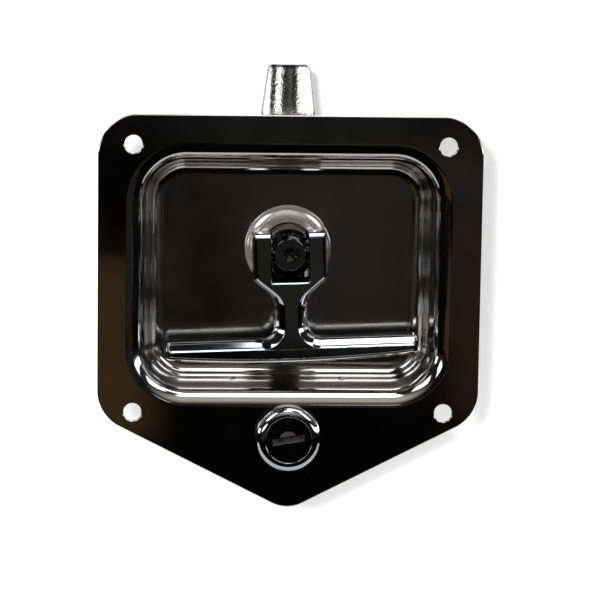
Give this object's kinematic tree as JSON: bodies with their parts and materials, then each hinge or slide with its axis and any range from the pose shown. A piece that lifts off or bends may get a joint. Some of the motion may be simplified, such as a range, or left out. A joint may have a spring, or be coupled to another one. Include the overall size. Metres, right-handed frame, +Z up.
{
  "type": "recessed t-handle latch",
  "caption": "Recessed T-handle latch: pressed steel pan with a vee-ended flange, a folding handle on a turning shaft, a spring bolt and a key lock.",
  "frame": {"origin": "centre of the four mounting holes, on the back face of the flange", "axes": "+X right seen from the front, +Y into the panel, +Z up"},
  "size_m": [0.1128, 0.0399, 0.1302],
  "materials": {
    "polished_stainless": "mirror polished stainless sheet",
    "polished_handle": "polished bright plated casting",
    "turned_steel": "fine turned",
    "grey_zinc": "dull grey zinc plate",
    "dark_spring_steel": "blued spring steel",
    "yellow_zinc": "pale yellow passivated zinc plate",
    "bronze_roller": "machined bronze",
    "zinc_hardware": "bright zinc plate",
    "zinc_bolt": "bright zinc plate, slightly mottled",
    "spring_wire": "drawn wire",
    "chromed_lock": "bright chrome plate",
    "shutter_steel": "thin stamped steel"
  },
  "bodies": {
    "pan": {"pan": "polished_stainless", "shaft_bushing": "grey_zinc", "bushing_ring": "dark_spring_steel", "turn_stop": "turned_steel", "bolt_guide": "yellow_zinc", "bolt_spring": "spring_wire", "spring_anchor": "yellow_zinc", "spring_peg": "turned_steel", "lock_body": "chromed_lock", "lock_washer": "zinc_hardware", "lock_nut": "zinc_hardware"},
    "shaft": {"handle_shaft": "turned_steel", "wave_washer": "dark_spring_steel", "drive_crank": "yellow_zinc", "crank_stud": "turned_steel", "stud_roller": "bronze_roller", "stud_clip": "dark_spring_steel", "shaft_washer": "zinc_hardware", "shaft_nut": "zinc_hardware"},
    "handle": {"t_handle": "polished_handle", "pivot_pin": "turned_steel"},
    "bolt": {"latch_bolt": "zinc_bolt"},
    "plug": {"key_plug": "chromed_lock", "dust_shutter": "shutter_steel", "lock_cam": "yellow_zinc", "cam_washer": "zinc_hardware", "cam_screw": "zinc_hardware"}
  },
  "joints": [
    {"name": "shaft_turn", "type": "hinge", "parent": "pan", "child": "shaft", "pos_m": [0, 0.015, 0.0074], "axis": [0, 1, 0], "range_deg": [0, 81.5]},
    {"name": "handle_fold", "type": "hinge", "parent": "shaft", "child": "handle", "pos_m": [0, 0.0052, 0.0074], "axis": [-0.9993, 0, -0.0384], "range_deg": [0, 92]},
    {"name": "bolt_slide", "type": "slide", "parent": "pan", "child": "bolt", "axis": [0, 0, -1], "range_m": [0, 0.014], "stiffness_N_per_m": 120, "springref_m": -0.025, "deforming": ["bolt_spring"]},
    {"name": "key_turn", "type": "hinge", "parent": "pan", "child": "plug", "pos_m": [0, 0.005, -0.0469], "axis": [0, 1, 0], "range_deg": [0, 90]}
  ],
  "couplings": [
    {"joint": "shaft_turn", "follows": "bolt_slide", "rad_per_m": 98.5},
    {"joint": "handle_fold", "follows": "bolt_slide", "rad_per_m": 110.5}
  ]
}
